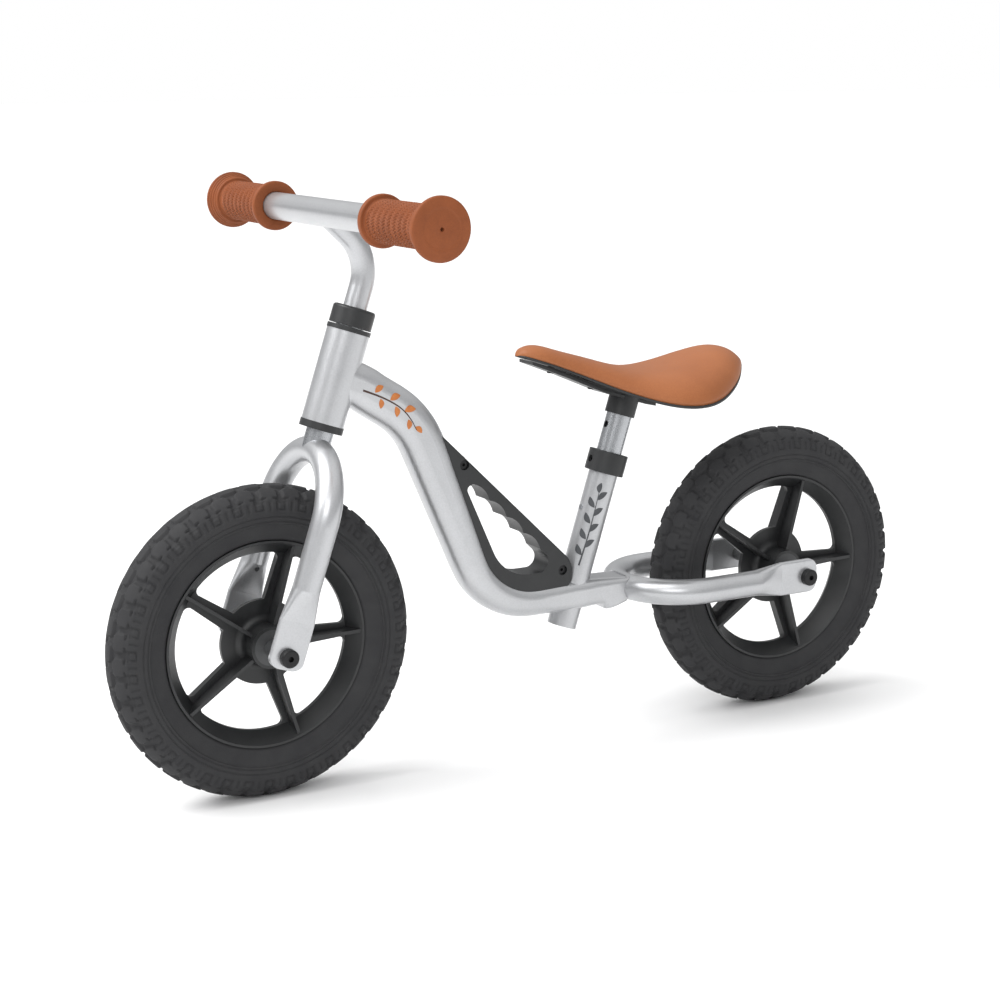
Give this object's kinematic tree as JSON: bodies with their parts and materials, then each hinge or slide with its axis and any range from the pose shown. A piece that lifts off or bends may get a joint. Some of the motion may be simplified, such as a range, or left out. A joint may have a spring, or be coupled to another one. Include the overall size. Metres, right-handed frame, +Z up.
{
  "type": "balance bike",
  "caption": "Pedal-free balance bike for a toddler: bent tube frame with a moulded carry handle, straight bar with soft grips, sliding padded saddle and spoked wheels with foam tyres",
  "frame": {"origin": "on the ground, midway between the two wheel axles, in the bike's middle plane", "axes": "+X the way the bike travels, +Y the rider's left, +Z up"},
  "size_m": [0.753, 0.388, 0.4846],
  "materials": {
    "silver_paint": "satin",
    "bare_steel": "satin",
    "black_steel": "satin",
    "dark_plastic": "matt, lightly textured",
    "spacer_plastic": "matt",
    "tyre_foam": "matt",
    "grip_rubber": "matt",
    "saddle_skin": "smooth matt"
  },
  "bodies": {
    "frame": {"head_tube": "silver_paint", "headset_lower_cup": "dark_plastic", "headset_upper_cup": "dark_plastic", "main_beam": "silver_paint", "rear_stays": "silver_paint", "seat_tube": "silver_paint", "seat_tube_rivet": "bare_steel", "seat_collar": "dark_plastic", "seat_collar_screw": "black_steel", "carry_handle": "dark_plastic", "carry_handle_tabs": "silver_paint", "carry_handle_bolts": "black_steel", "carry_handle_nuts": "black_steel", "rear_axle": "bare_steel", "rear_axle_spacers": "spacer_plastic", "rear_axle_bolts": "black_steel"},
    "steering": {"fork": "silver_paint", "steerer": "bare_steel", "headset_cap": "dark_plastic", "cap_set_screw": "black_steel", "stem": "silver_paint", "handlebar": "silver_paint", "grip_left": "grip_rubber", "grip_right": "grip_rubber", "front_axle": "bare_steel", "front_axle_spacers": "spacer_plastic", "front_axle_bolts": "black_steel"},
    "front_wheel": {"front_wheel_core": "dark_plastic", "front_tyre": "tyre_foam", "front_hub_bushes": "spacer_plastic"},
    "rear_wheel": {"rear_wheel_core": "dark_plastic", "rear_tyre": "tyre_foam", "rear_hub_bushes": "spacer_plastic"},
    "seat": {"seat_post": "bare_steel", "saddle_bracket": "dark_plastic", "saddle_bolts": "black_steel", "saddle_base": "dark_plastic", "saddle_cover": "saddle_skin"}
  },
  "joints": [
    {"name": "steering", "type": "hinge", "parent": "frame", "child": "steering", "pos_m": [0.2495, 0, 0.127], "axis": [-0.3228, 0, 0.9465], "range_deg": [-90, 90]},
    {"name": "front_wheel_spin", "type": "hinge", "parent": "steering", "child": "front_wheel", "pos_m": [0.2495, 0, 0.127], "axis": [0, 1, 0], "continuous": true},
    {"name": "rear_wheel_spin", "type": "hinge", "parent": "frame", "child": "rear_wheel", "pos_m": [-0.2495, 0, 0.127], "axis": [0, 1, 0], "continuous": true},
    {"name": "seat_height", "type": "slide", "parent": "frame", "child": "seat", "axis": [-0.3082, 0, 0.9513], "range_m": [-0.0317, 0.0317]}
  ]
}
